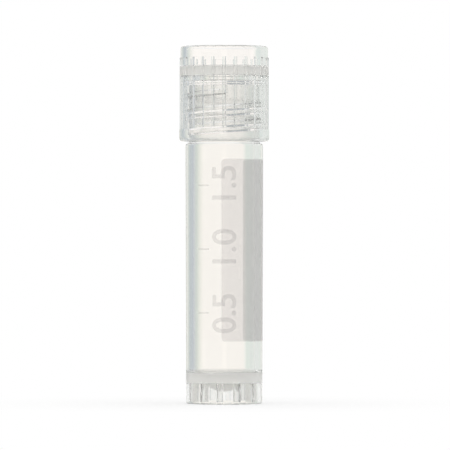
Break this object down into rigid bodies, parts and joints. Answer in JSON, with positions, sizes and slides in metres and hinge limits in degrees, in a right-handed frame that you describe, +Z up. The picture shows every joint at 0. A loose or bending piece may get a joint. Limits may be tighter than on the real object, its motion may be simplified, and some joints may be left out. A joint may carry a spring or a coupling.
{
  "type": "cryovial",
  "caption": "Self-standing cryogenic sample vial with a star foot and an externally threaded neck, closed by a clear screw cap on a sealing washer.",
  "frame": {"origin": "centre of the foot's standing ring, on the surface that the vial stands on", "axes": "+Z up along the vial's axis towards the cap, -Y towards the front"},
  "size_m": [0.0125, 0.0124, 0.0496],
  "materials": {
    "vial": "translucent natural polypropylene, moulded",
    "cap": "clear polypropylene, moulded and glossy",
    "seal": "translucent silicone"
  },
  "bodies": {
    "vial": {"vial": "vial"},
    "seal_washer": {"seal_washer": "seal"},
    "cap": {"cap": "cap"}
  },
  "joints": [
    {"name": "cap_lift", "type": "slide", "parent": "vial", "child": "seal_washer", "axis": [0, 0, 1], "range_m": [0, 0.009]},
    {"name": "cap_turn", "type": "hinge", "parent": "seal_washer", "child": "cap", "pos_m": [0, 0, 0], "axis": [0, 0, 1], "range_deg": [0, 1440]}
  ],
  "couplings": [
    {"joint": "cap_turn", "follows": "cap_lift", "rad_per_m": 2792.5}
  ]
}
